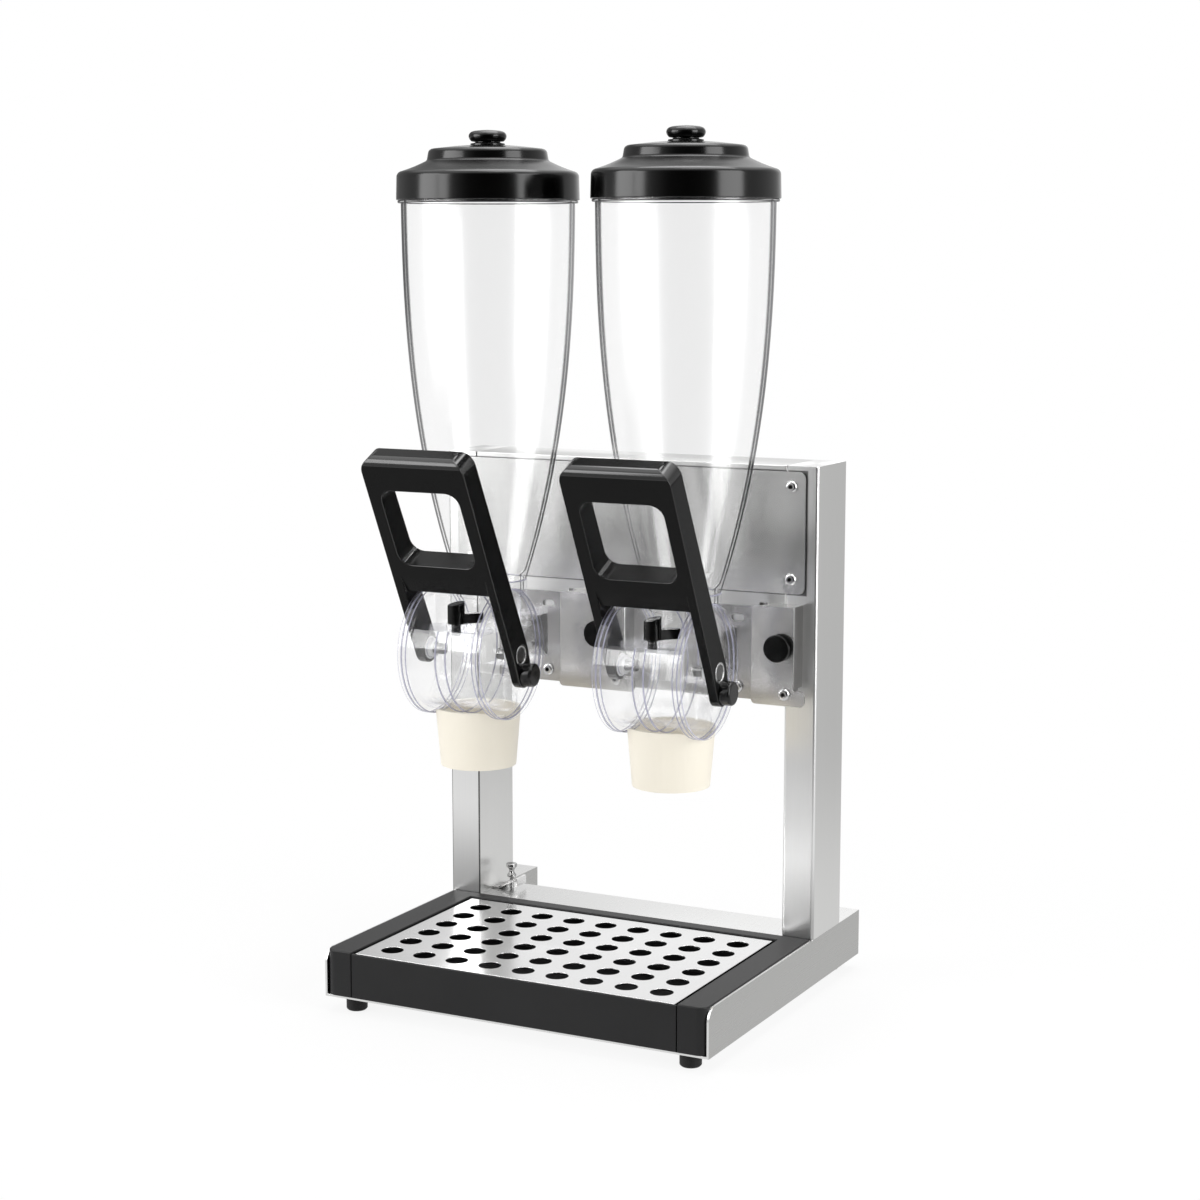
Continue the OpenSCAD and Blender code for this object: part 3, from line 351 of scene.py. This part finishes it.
def hoop(place, axis, begin, radius, thick, sweep=360.0, steps=160):  # a thin round rim, whole or in part
    axis, begin = Vector(axis), Vector(begin).normalized()
    spot = Matrix((begin, axis, begin.cross(axis))).transposed().to_4x4()
    spot.translation = place + begin * radius * mm
    shape = bmesh.new()
    bmesh.ops.create_circle(shape, cap_ends=sweep < 360, segments=8, radius=thick / 2 * mm, matrix=spot)
    bmesh.ops.spin(shape, geom=shape.verts[:] + shape.edges[:] + shape.faces[:], cent=place, axis=axis,
                   angle=math.radians(sweep), steps=steps, use_merge=sweep == 360)
    bmesh.ops.recalc_face_normals(shape, faces=shape.faces)
    for face in shape.faces:
        face.material_index = 1
    return shape


def merged(node):  # a copy of a solid as one closed mesh with flat faces joined
    shape = bmesh.new()
    shape.from_mesh(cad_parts[node].data)
    bmesh.ops.remove_doubles(shape, verts=shape.verts, dist=2e-6)
    bmesh.ops.dissolve_limit(shape, angle_limit=math.radians(0.4), verts=shape.verts, edges=shape.edges)
    return shape


def soften(shape, size, sharp=35, least=0.0, segments=3, skin=None, pick=None):
    # rounds the sharp edges that are long enough, and may give the rounding a finish of its own
    picked = [edge for edge in shape.edges if len(edge.link_faces) == 2
              and edge.calc_face_angle(0) > math.radians(sharp) and edge.calc_length() > least * mm
              and (pick is None or pick(edge))]
    made = bmesh.ops.bevel(shape, geom=picked, offset=size * mm, offset_type="OFFSET", segments=segments, profile=0.5,
                           affect="EDGES", material=-1, clamp_overlap=True)
    if skin is not None:
        for face in made["faces"]:
            face.material_index = skin
    return shape


def clearSolid(node):  # a copy of a clear solid with tinted edges
    return soften(merged(node), 0.5, sharp=40, least=3.0, segments=2, skin=1)


def skinned(shape, skin, rule):  # gives the faces that a rule picks another finish
    shape.normal_update()
    for face in shape.faces:
        if rule(face):
            face.material_index = skin
    return shape


def joined(shapes):  # several shapes as one
    spare = bpy.data.meshes.new("spare")
    for shape in shapes[1:]:
        shape.to_mesh(spare)
        shapes[0].from_mesh(spare)
        shape.free()
    bpy.data.meshes.remove(spare)
    return shapes[0]


def islands(shape):  # groups of joined vertices
    left = set(shape.verts)
    while left:
        group, edge = set(), {left.pop()}
        while edge:
            dot = edge.pop()
            group.add(dot)
            edge |= {other for line in dot.link_edges for other in line.verts} & left
            left -= edge
        yield group


def add(name, shape, finishNames, body, *nodes):  # turns a shape into a piece that stands for solids
    mesh = bpy.data.meshes.new(name)
    shape.to_mesh(mesh)
    shape.free()
    mesh.shade_smooth()
    mesh.set_sharp_from_angle(angle=math.radians(creaseAngle))
    for finishName in finishNames.split():
        mesh.materials.append(look[finishName])
    piece = bpy.data.objects.new(name, mesh)
    scene.collection.objects.link(piece)
    flat = piece.modifiers.new("flatFaces", "WEIGHTED_NORMAL")
    flat.keep_sharp = True
    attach(piece, body)
    if nodes:
        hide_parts(*nodes)
    return piece


# lids and their knobs

lidForm = {"radius": 79.8, "flare": 0.6, "wall": 3.7, "skirt": 23.5, "shoulder": 3.4, "cone": 10.3, "sag": 0.8,
           "step": 52.9, "stepTop": 51.2, "stepHeight": 9.8, "stepRound": 3.0, "stepFoot": 1.5, "dome": 4.0,
           "domeDrops": ((14, 0.3), (30, 1.6)), "plate": 3.2, "inside": 48.8, "insideDrop": 1.8, "lip": 0.8}
knobForm = [  # radius, height, rounding
    (0, -1), (15.0, -1), (15.0, 0.9, 0.4), (11.0, 1.6, 0.3), (11.0, 2.2), (14.2, 2.7, 0.8), (16.5, 5.4, 1.8),
    (16.5, 9.6, 2.4), (12.6, 11.6, 1.6), (6, 12.3), (0, 12.7),
]

for side in sides:
    place = underside("lid_" + side)
    rim, inner = lidForm["radius"], lidForm["radius"] - lidForm["wall"]
    shoulder = rim - lidForm["flare"]
    coneTop = lidForm["skirt"] + lidForm["cone"]
    stepTop = coneTop + lidForm["stepHeight"]
    peak = stepTop + lidForm["dome"]
    under, lip, inside = lidForm["plate"], lidForm["lip"], lidForm["inside"]
    dome = [(radius, peak - drop) for radius, drop in lidForm["domeDrops"]]
    cone = [(lidForm["step"] + (shoulder - lidForm["step"]) * share,
             coneTop - lidForm["cone"] * share - lidForm["sag"] * math.sin(math.pi * share))
            for share in (0.2, 0.4, 0.6, 0.8)]
    shape = lathe(place, (0, 0, 1), [
        (0, peak), *dome, (lidForm["stepTop"], stepTop, lidForm["stepRound"]),
        (lidForm["step"], coneTop, lidForm["stepFoot"]), *cone,
        (shoulder, lidForm["skirt"], lidForm["shoulder"]), (rim, 0, lip), (inner, 0, lip),
        (inner, lidForm["skirt"] - under - lidForm["insideDrop"]), (inside, coneTop - under),
        (inside, stepTop - under - lidForm["dome"]), (0, peak - under - lidForm["dome"]),
    ], 160)
    add("lidShell." + side, shape, "gloss", "lid_" + side, "lid_" + side)

    shape = lathe(place + Vector((0, 0, peak * mm)), (0, 0, 1), knobForm)
    add("lidKnob." + side, shape, "gloss", "lid_" + side, "lid_knob_" + side)

# hoppers

hopperForm = {"neck": 29.7, "neckHeight": 16.0, "low": 32.0, "top": 75.8, "taper": 3.0, "bell": 2.5, "height": 329.0,
              "wall": 2.5, "rim": 78.6, "rimThick": 2.0, "rimRound": 0.7, "lip": 12.0, "lipRound": 0.8,
              "neckRound": 0.6, "rings": 48, "steps": 176, "line": 1.0, "lineIn": 0.6, "lineUp": 0.2}


def bellRadius(share):  # outer radius of a hopper at a share of its height
    curve = hopperForm["top"] - hopperForm["taper"] - hopperForm["low"]
    return hopperForm["low"] + curve * (1 - (1 - share) ** hopperForm["bell"]) + hopperForm["taper"] * share


for side in sides:
    place = underside("hopper_" + side)
    start, wall = hopperForm["neckHeight"], hopperForm["wall"]
    flange = start + hopperForm["height"]
    ledge = flange + hopperForm["rimThick"]
    lip = ledge + hopperForm["lip"]
    neck, top, rim = hopperForm["neck"], hopperForm["top"], hopperForm["rim"]
    neckRound, rimRound, lipRound = hopperForm["neckRound"], hopperForm["rimRound"], hopperForm["lipRound"]
    shares = [ring / hopperForm["rings"] for ring in range(hopperForm["rings"] + 1)]
    outside = [(bellRadius(share), start + hopperForm["height"] * share) for share in shares]
    inside = [(radius - wall, height) for radius, height in reversed(outside[1:])]
    shape = lathe(place, (0, 0, 1), [
        (neck, 0, neckRound), (neck, start), *outside, (rim, flange, rimRound), (rim, ledge, rimRound), (top, ledge),
        (top, lip, lipRound), (top - wall, lip, lipRound), *inside, (neck - wall, start + wall),
        (neck - wall, 0, neckRound),
    ], hopperForm["steps"])
    rimLow = place + Vector((0, 0, (flange + hopperForm["lineUp"]) * mm))
    line = hoop(rimLow, (0, 0, 1), (0, -1, 0), rim - hopperForm["lineIn"], hopperForm["line"],
                steps=hopperForm["steps"])
    shape = joined([shape, line])
    add("hopperShell." + side, shape, "clear hopperRim", "hopper_" + side, "hopper_" + side)
print("stage: lids and hoppers made")

# metering units

capForm = {"radius": 57.6, "bore": 8.06, "thick": 4.2, "gap": 0.15, "round": 1.1}
shellForm = {"rib": 54.3, "ribs": (-5.0, 5.0), "flanges": (-37.1, -33.1, 33.1, 37.1), "shelf": 24.0, "shelfBack": 6.0,
             "collar": 32.6, "collarDrop": 0.6,
             "ribLine": (0.3, 1.5), "flangeLine": (0.5, 1.1), "collarLine": (0.7, 1.3)}  # how far in, how thick
pinForm = {"pin": 5.0, "head": 9.0, "ring": 1.6, "dishRim": 2.0, "deep": 2.5, "dish": 0.7, "length": 23.4}
pegForm = {"radius": 10.5, "height": 10.0, "round": 2.4, "pin": 4.0}
leverForm = {"lean": 26.5, "round": 1.0, "window": 134.8, "windowReach": 48.5, "wall": 0.5, "flat": 0.985}
lean = math.radians(leverForm["lean"])
leverFront = Vector((0, -math.cos(lean), -math.sin(lean)))
leverUp = Vector((0, leverFront.z, -leverFront.y))
buttonForm = {"radius": 12.0, "thick": 4.3, "round": 1.0, "stem": 5.0}


def isRoll(face, window):  # the rounded edges of a lever, but not the walls of its window
    offset = face.calc_center_median() - window
    near = math.hypot(offset.x, offset.dot(leverUp)) < leverForm["windowReach"] * mm
    if near and abs(face.normal.dot(leverFront)) < leverForm["wall"]:
        return False
    ways = (Vector((1, 0, 0)), leverFront, leverUp)
    return max(abs(face.normal.dot(way)) for way in ways) < leverForm["flat"]


for side in sides:
    stand, lever = "stand", "lever_" + side
    axis = middle("end_caps_" + side)
    deep, pin, dish = capForm["gap"] - capForm["thick"], pinForm["head"], pinForm["dish"]
    profiles = {
        "end_caps_": [(capForm["bore"], 0, 0.5), (capForm["radius"], 0, capForm["round"]),
                      (capForm["radius"], deep, 0.7), (capForm["bore"], deep)],
        "pivot_pins_": [(0, -dish), (pin - pinForm["dishRim"], -dish, 0.3), (pin - pinForm["ring"], 0, 0.25),
                        (pin, 0, 0.4), (pin, -pinForm["deep"]), (pinForm["pin"], -pinForm["deep"]),
                        (pinForm["pin"], -pinForm["length"], 0.5), (0, -pinForm["length"])],
    }
    turned = {}
    for node, profile in profiles.items():
        low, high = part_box(node + side)
        turned[node] = joined([lathe(Vector((edge, axis.y, axis.z)), (out, 0, 0), profile, 128)
                               for edge, out in ((low.x, -1), (high.x, 1))])
    caps = skinned(turned["end_caps_"], 1, lambda face: 0.15 < abs(face.normal.x) < 0.97)
    add("endCaps." + side, caps, "clearThick clearEdge", stand, "end_caps_" + side)
    add("pivotPins." + side, turned["pivot_pins_"], "pin", lever, "pivot_pins_" + side)

    low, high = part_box("lever_peg_" + side)
    place = middle("lever_peg_" + side)
    place.x = high.x
    peg, end = pegForm["radius"], (low.x - high.x) / mm
    shape = lathe(place, (1, 0, 0), [
        (0, 0), (peg, 0, pegForm["round"]), (peg, -pegForm["height"]), (pegForm["pin"], -pegForm["height"]),
        (pegForm["pin"], end), (0, end),
    ])
    add("leverPeg." + side, shape, "gloss", lever, "lever_peg_" + side)

    low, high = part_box("release_button_" + side)
    place = middle("release_button_" + side)
    place.y = low.y
    disc, stem, end = buttonForm["radius"], buttonForm["stem"], (low.y - high.y) / mm
    shape = lathe(place, (0, -1, 0), [
        (0, 0), (disc, 0, buttonForm["round"]), (disc, -buttonForm["thick"], 0.4), (stem, -buttonForm["thick"]),
        (stem, end, 0.4), (0, end),
    ])
    add("releaseButton." + side, shape, "knob", "button_" + side, "release_button_" + side)

    shelf = math.asin(shellForm["shelf"] / shellForm["rib"])
    cutBack = math.degrees(math.acos(shellForm["shelfBack"] / shellForm["rib"]))
    rims = [clearSolid("housing_" + side)]
    inward, thick = shellForm["ribLine"]
    for x in shellForm["ribs"]:
        rims.append(hoop(axis + Vector((x * mm, 0, 0)), (1, 0, 0), (0, -math.cos(shelf), math.sin(shelf)),
                         shellForm["rib"] - inward, thick, 360 + math.degrees(shelf) - cutBack))
    inward, thick = shellForm["flangeLine"]
    for x in shellForm["flanges"]:
        rims.append(hoop(axis + Vector((x * mm, 0, 0)), (1, 0, 0), (0, -1, 0), capForm["radius"] - inward, thick))
    inward, thick = shellForm["collarLine"]
    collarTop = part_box("housing_" + side)[1].z - shellForm["collarDrop"] * mm
    collar = Vector((axis.x, middle("hopper_" + side).y, collarTop))
    rims.append(hoop(collar, (0, 0, 1), (0, -1, 0), shellForm["collar"] - inward, thick))
    add("housingShell." + side, joined(rims), "clearThick clearEdge", stand, "housing_" + side)
    add("meteringGate." + side, clearSolid("gate_" + side), "clearThick clearEdge", lever, "gate_" + side)
    add("spoutShell." + side, soften(merged("spout_" + side), 0.5), "ivory", stand, "spout_" + side)
    window = axis + leverUp * leverForm["window"] * mm
    shape = skinned(soften(merged("lever_" + side), leverForm["round"]), 1, lambda face: isRoll(face, window))
    add("forkLever." + side, shape, "lever leverEdge", lever, "lever_" + side)
    knob = soften(merged("portion_knob_" + side), 0.9)
    add("portionKnob." + side, knob, "knob", "portion_" + side, "portion_knob_" + side)
print("stage: metering units made")

# stand and tray

easing = {  # bend, rounding, least edge length, finishes, body and solid of each piece
    "leftPost": (1.1, 0.8, 20, "post postSide cutEdge", "stand", "post_left"),
    "rightPost": (2.6, 0.8, 20, "post postSide", "stand", "post_right"),
    "backPanel": (0, 0.8, 20, "panel", "stand", "rear_panel"),
    "coverPlate": (0, 0.3, 0, "cover cutEdge", "stand", "cover_plate"),
    "baseShell": (0, 0.8, 4, "base cheek rim", "stand", "base_shell"),
    "holdDownTab": (0, 0.6, 4, "base wing", "stand", "hold_down_tab"),
    "traySurround": (0, 1.2, 0, "matt", "stand", "tray_surround"),
    "dripTray": (0, 0.7, 0, "matt", "drip_tray", "drip_tray"),
    "dripGrate": (0, 0.35, 0, "grate", "drip_grate", "drip_grate"),
    "leftBracket": (3.0, 0.4, 4, "bracket wing cutEdge", "stand", "bracket_left"),
    "rightBracket": (3.0, 0.4, 4, "bracket wing cutEdge", "stand", "bracket_right"),
    "rubberFeet": (0, 0.5, 0, "rubber", "stand", "feet"),
}
sheetForm = {"thick": 2.0, "slack": 0.3, "cutLength": 4.0, "foldSlack": 0.5, "wingBack": 10.0, "bendLength": 40,
             "bendSegments": 6}
facing = 0.9
bendShadeSkin = {"leftPost": 2}  # its bends take the dark steel, a painted shade line


def isUpright(edge):  # a long vertical edge along the front of a folded piece
    way = edge.verts[1].co - edge.verts[0].co
    front = foldFront + sheetForm["foldSlack"] * mm
    return abs(way.z) > 0.99 * way.length and max(dot.co.y for dot in edge.verts) < front


def isCut(face):  # a strip as wide as the sheet is thick
    runs = sorted(edge.calc_length() for edge in face.edges)
    isThick = abs(runs[0] - sheetForm["thick"] * mm) < sheetForm["slack"] * mm
    return len(runs) == 4 and isThick and runs[3] > sheetForm["cutLength"] * mm


def isWing(face):  # the parts of a bracket that lie against the panel, which take a painted shade
    return abs(face.normal.y) > facing and face.calc_center_median().y > foldFront + sheetForm["wingBack"] * mm


def isSide(face):
    return abs(face.normal.x) > facing


# painted shade: sides, wings, the tab's front and the cover's edges take darker copies of a steel; painted highlight:
# the base's cut edges take a lighter one
skins = {
    "post postSide": [(1, isSide)],
    "post postSide cutEdge": [(1, isSide)],
    "base cheek rim": [(1, isSide), (2, isCut)],
    "base wing": [(1, lambda face: face.normal.y < -facing)],
    "cover cutEdge": [(1, lambda face: abs(face.normal.y) < 0.5)],
    "bracket wing cutEdge": [(1, isWing), (2, isCut)],
}
for word, (bend, size, least, finishNames, body, node) in easing.items():
    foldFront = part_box(node)[0].y
    shape = merged(node)
    for skin, rule in skins.get(finishNames, []):
        shape = skinned(shape, skin, rule)
    if bend:
        shape = soften(shape, bend, least=sheetForm["bendLength"], segments=sheetForm["bendSegments"],
                       skin=bendShadeSkin.get(word, 0), pick=isUpright)
    add(word, soften(shape, size, least=least), finishNames, body, node)

# screws with sockets painted dark as shade, and the thumbscrew

socketReach = 2.6
for word, node in (("coverScrews", "cover_screws"), ("bracketScrews", "bracket_screws")):
    shape = merged(node)
    for group in islands(shape):
        acrossX, acrossZ = [dot.co.x for dot in group], [dot.co.z for dot in group]
        x, z = (min(acrossX) + max(acrossX)) / 2, (min(acrossZ) + max(acrossZ)) / 2
        # painted shade: the faces of the socket take the near-black finish
        for face in {face for dot in group for face in dot.link_faces}:
            if all(math.hypot(dot.co.x - x, dot.co.z - z) < socketReach * mm for dot in face.verts):
                face.material_index = 1
    add(word, soften(shape, 0.25, segments=2), "bright socket", "stand", node)

thumbForm = [  # radius, height, rounding
    (0, 0), (5.2, 0, 1.0), (5.2, -3.2, 0.8), (2.6, -6.2, 1.4), (2.6, -9.0, 1.4), (4.4, -11.2, 0.6), (4.4, -13, 0.5),
    (1.9, -14),
]
low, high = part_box("thumbscrew")
place = middle("thumbscrew")
place.z = high.z
end = (low.z - high.z) / mm
shape = lathe(place, (0, 0, 1), [*thumbForm, (thumbForm[-1][0], end), (0, end)], 64)
add("thumbScrew", shape, "stud", "thumbscrew", "thumbscrew")
print("stage: stand and tray made")

# button springs

springForm = {"coil": 6.8, "wire": 1.2, "travel": 2.5, "turns": 5, "stepsPerTurn": 36, "rim": 12}

for side in sides:
    low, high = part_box("button_spring_" + side)
    place = middle("release_button_" + side)
    steps, wire = springForm["turns"] * springForm["stepsPerTurn"], springForm["wire"] * mm
    climb = (high.y - low.y - wire) / steps
    shape = bmesh.new()
    bmesh.ops.create_circle(shape, cap_ends=True, radius=wire / 2, segments=springForm["rim"])
    start = Vector((place.x + springForm["coil"] * mm, low.y + wire / 2, place.z))
    bmesh.ops.translate(shape, verts=shape.verts, vec=start)
    bmesh.ops.spin(shape, geom=shape.verts[:] + shape.edges[:] + shape.faces[:], cent=place, axis=(0, 1, 0),
                   dvec=(0, climb, 0), angle=-2 * math.pi * springForm["turns"], steps=steps)
    bmesh.ops.recalc_face_normals(shape, faces=shape.faces)
    coil = add("buttonSpring." + side, shape, "spring", "stand", "button_spring_" + side)
    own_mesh(coil)
print("stage: springs wound")

# camera

shot = {"eye": (0.96869, -1.88060, 0.66947), "yaw": 0.475269, "pitch": 0.147636, "lens": 72.6406,
        "sensor": 36, "clip": (0.05, 60)}

cameraData = bpy.data.cameras.new("camera")
cameraData.lens = shot["lens"]
cameraData.sensor_width = shot["sensor"]
cameraData.clip_start, cameraData.clip_end = shot["clip"]
camera = bpy.data.objects.new("camera", cameraData)
camera.location = shot["eye"]
camera.rotation_euler = (math.pi / 2 - shot["pitch"], 0, shot["yaw"])
scene.collection.objects.link(camera)
scene.camera = camera

# floor, background and lamps

studio = {"floorSize": 9.0, "floorDrop": 0.0004, "floorNear": 0.85, "floorFar": 0.62, "floorDark": 0.03,
          "paint": (0.86, 0.86, 0.86, 1), "shadowShare": 0.86, "shadowReach": (0.25, 0.75), "darkAngle": (0.62, 0.92),
          "darkReach": (0.45, 1.3), "fill": 0.34, "ceiling": 1.3, "ceilingRise": (0.42, 0.8)}
ahead = Vector((-math.sin(shot["yaw"]), math.cos(shot["yaw"]), 0.0))
aside = Vector((ahead.y, -ahead.x, 0.0))

floorMesh = bpy.data.meshes.new("floor")
shape = bmesh.new()
bmesh.ops.create_grid(shape, x_segments=1, y_segments=1, size=studio["floorSize"])
shape.to_mesh(floorMesh)
shape.free()
floor = bpy.data.objects.new("floor", floorMesh)
floor.location.z = -studio["floorDrop"]
scene.collection.objects.link(floor)


def floorShader(tree):  # white for the camera, darker in front for reflections
    seen = tree.node("ShaderNodeLightPath", {}, {}, "Is Camera Ray")
    gloss = tree.node("ShaderNodeLightPath", {}, {}, "Is Glossy Ray")
    far = tree.vector("LENGTH", tree.spot(), out="Value")
    toward = tree.vector("DOT_PRODUCT", tree.spot(), -ahead, "Value") / far
    edge = tree.ramp(far, *studio["shadowReach"], studio["shadowShare"], 1.0)
    shade = tree.ramp(toward, *studio["darkAngle"], studio["floorFar"], studio["floorDark"])
    away = tree.ramp(far, *studio["darkReach"])
    front = shade * away + (1 - away) * studio["floorNear"]
    paint = tree.node("ShaderNodeBsdfDiffuse", {}, {"Color": studio["paint"]})
    glow = tree.node("ShaderNodeEmission", {}, {"Color": (1, 1, 1, 1), "Strength": seen.most(gloss * front)})
    return tree.node("ShaderNodeMixShader", {}, {0: gloss.most(seen * edge), 1: paint, 2: glow})


floorMesh.materials.append(finish("floorWhite", floorShader))

world = bpy.data.worlds.new("studio")
scene.world = world
world.use_nodes = True
air = Tree(world.node_tree)
seen, gloss = (air.node("ShaderNodeLightPath", {}, {}, word) for word in ("Is Camera Ray", "Is Glossy Ray"))
heading = air.node("ShaderNodeTexCoord", {}, {}, "Generated")
forward, rightward = (air.vector("DOT_PRODUCT", heading, way, "Value") for way in (ahead, aside))
turn = forward.work("ARCTAN2", rightward, forward) / (2 * math.pi) + 0.5
ring = [  # degrees to the right of straight behind the object, brightness in reflections
    (-180, 0.02), (-156, 0.06), (-130, 0.55), (-110, 0.7), (-80, 0.5), (-50, 0.4), (-34, 0.28), (-8, 0.28), (-2, 0.95),
    (22, 0.9), (40, 0.6), (75, 0.6), (110, 0.5), (150, 0.05), (180, 0.02),
]
stops = [(angle / 360 + 0.5, shade) for angle, shade in ring]
around = air.node("ShaderNodeValToRGB", {"stops": stops}, {"Fac": turn})
ceiling = air.ramp(air.part(heading, "Z"), *studio["ceilingRise"], 0.0, studio["ceiling"])
strength = seen.most(gloss * (ceiling + around)).most((1 - seen.most(gloss)) * studio["fill"])
sky = air.node("ShaderNodeBackground", {}, {"Color": (1, 1, 1, 1), "Strength": strength})
air.node("ShaderNodeOutputWorld", {}, {"Surface": sky})

lamps = {  # place, size, watts
    "leftBox": ((-1.68, -1.38, 0.98), (1.05, 1.65), 27),
    "stripBox": ((-1.02, -1.85, 1.05), (0.5, 1.0), 8),
    "rightBox": ((2.0, -0.35, 0.85), (1.1, 1.7), 30),
    "topBox": ((0.1, 0.2, 2.3), (1.8, 1.4), 31),
}
aim = Vector((0, 0, 0.4))
for word, (place, size, watts) in lamps.items():
    lamp = bpy.data.lights.new(word, "AREA")
    lamp.shape = "RECTANGLE"
    lamp.size, lamp.size_y = size
    lamp.energy = watts
    holder = bpy.data.objects.new(word, lamp)
    holder.location = place
    holder.rotation_euler = (aim - Vector(place)).to_track_quat("-Z", "Y").to_euler()
    scene.collection.objects.link(holder)
print("stage: camera, floor and lamps placed")

# carried-over solids take their finishes

wear = {
    "base": ["bracket_spacers"],
    "bright": ["housing_screws", "foot_screws", "button_clip_left", "button_clip_right"],
    "white": ["bushes_left", "bushes_right", "portion_cam_left", "portion_cam_right"],
}
for word, names in wear.items():
    for name in names:
        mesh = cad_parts[name].data
        mesh.materials.clear()
        mesh.materials.append(look[word])
print("stage: solids dressed")
